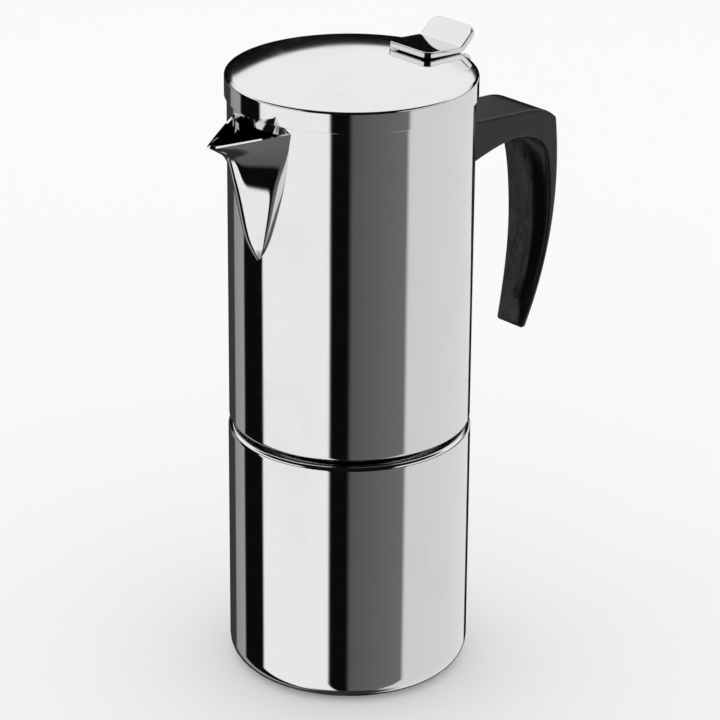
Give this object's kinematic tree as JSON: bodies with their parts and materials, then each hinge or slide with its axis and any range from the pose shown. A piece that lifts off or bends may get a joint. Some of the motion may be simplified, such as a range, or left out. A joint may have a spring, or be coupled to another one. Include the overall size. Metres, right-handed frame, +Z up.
{
  "type": "moka pot",
  "caption": "Cylindrical polished steel stove-top coffee maker: screw-on collector with V spout, hinged lid with thumb lever and a black bowed handle.",
  "frame": {"origin": "centre of the flat base, on the pot's axis", "axes": "+Z up along the pot's axis, -X towards the spout, +X towards the handle and the lid hinge, +Y towards the safety valve"},
  "size_m": [0.167, 0.1035, 0.2416],
  "materials": {
    "polished_steel": "mirror-polished stainless steel",
    "satin_steel": "satin stainless steel",
    "spring_steel": "bright drawn steel",
    "brass": "turned brass",
    "seal_rubber": "white food-grade silicone rubber",
    "black_plastic": "satin black moulded heat-proof plastic"
  },
  "bodies": {
    "boiler": {"boiler_shell": "polished_steel", "valve_washer": "seal_rubber", "valve_body": "brass", "valve_nut": "brass", "valve_spring": "spring_steel"},
    "valve_pin": {"valve_pin": "brass"},
    "funnel": {"funnel_cup": "satin_steel", "funnel_stem": "satin_steel", "funnel_plate": "satin_steel"},
    "seal": {"gasket": "seal_rubber", "filter_plate": "satin_steel"},
    "collector": {"collector_wall": "polished_steel", "collector_floor": "satin_steel", "thread_collar": "satin_steel", "riser_column": "satin_steel", "column_cap": "satin_steel", "spout": "polished_steel", "hinge_bracket": "polished_steel", "hinge_pin": "spring_steel", "handle": "black_plastic", "handle_tang": "satin_steel", "handle_screw": "spring_steel"},
    "lid": {"lid_disc": "polished_steel", "thumb_lever": "polished_steel", "lid_knuckle": "polished_steel"}
  },
  "joints": [
    {"name": "collector_turn", "type": "hinge", "parent": "seal", "child": "collector", "pos_m": [0, 0, 0], "axis": [0, 0, 1], "range_deg": [0, 900]},
    {"name": "collector_lift", "type": "slide", "parent": "boiler", "child": "seal", "axis": [0, 0, 1], "range_m": [0, 0.0101]},
    {"name": "funnel_lift", "type": "slide", "parent": "boiler", "child": "funnel", "axis": [0, 0, 1], "range_m": [0, 0.0041]},
    {"name": "lid_hinge", "type": "hinge", "parent": "collector", "child": "lid", "pos_m": [0.0506, 0, 0.2266], "axis": [0, 1, 0], "range_deg": [0, 105]},
    {"name": "valve_pin_slide", "type": "slide", "parent": "boiler", "child": "valve_pin", "axis": [0, 1, 0], "range_m": [0, 0.0015], "stiffness_N_per_m": 900, "springref_m": -0.002, "deforming": ["valve_spring"]}
  ],
  "couplings": [
    {"joint": "collector_lift", "follows": "collector_turn", "m_per_rad": 0.00063662},
    {"joint": "funnel_lift", "follows": "collector_turn", "m_per_rad": 0.00025465}
  ]
}
